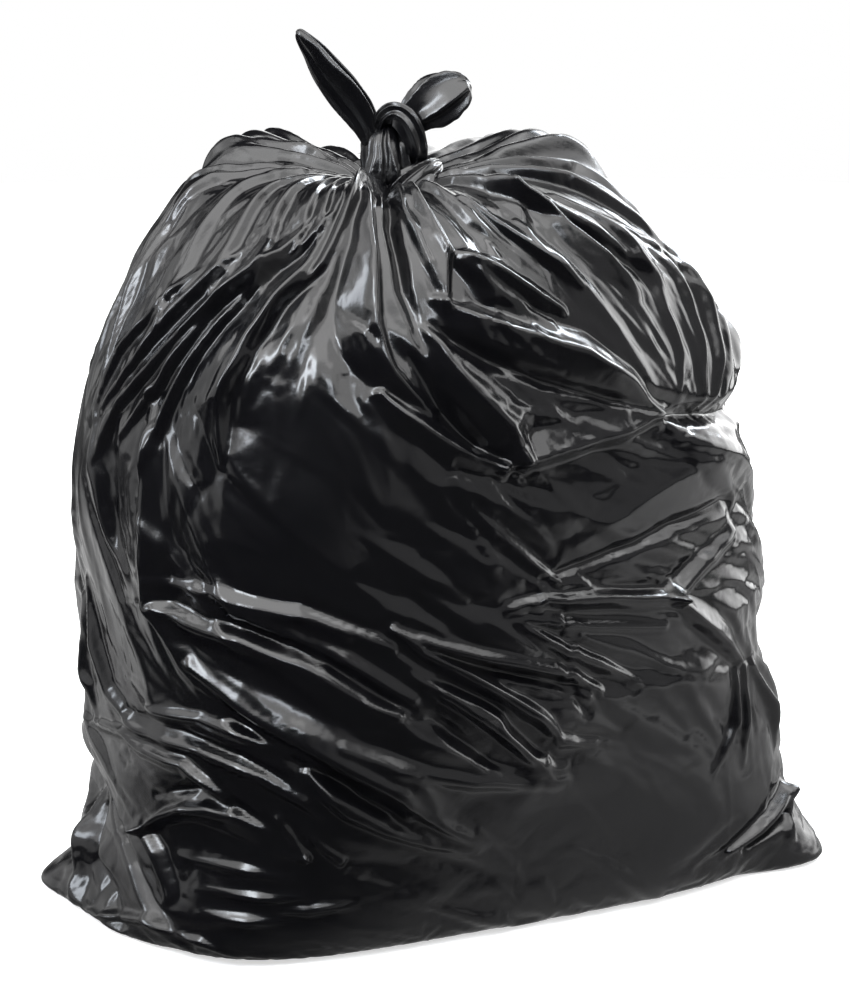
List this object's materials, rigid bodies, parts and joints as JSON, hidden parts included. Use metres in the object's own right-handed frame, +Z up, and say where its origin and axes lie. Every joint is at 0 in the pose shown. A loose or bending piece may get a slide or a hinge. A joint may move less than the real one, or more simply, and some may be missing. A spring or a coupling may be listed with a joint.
{
  "type": "tied full bin bag",
  "caption": "Full black refuse sack of thin polythene film, gathered and tied in one knot with two ears, standing on its flattened welded bottom.",
  "frame": {"origin": "middle of the bag's box, on the floor it stands on", "axes": "+Z up towards the knot, X along the welded bottom and the bag's width, Y through its depth with the broad front at -Y"},
  "size_m": [0.625, 0.424, 0.7194],
  "materials": {
    "film": "black low-density polythene film, glossy, creased"
  },
  "bodies": {
    "root": {"tied_bag": "film"}
  },
  "joints": []
}
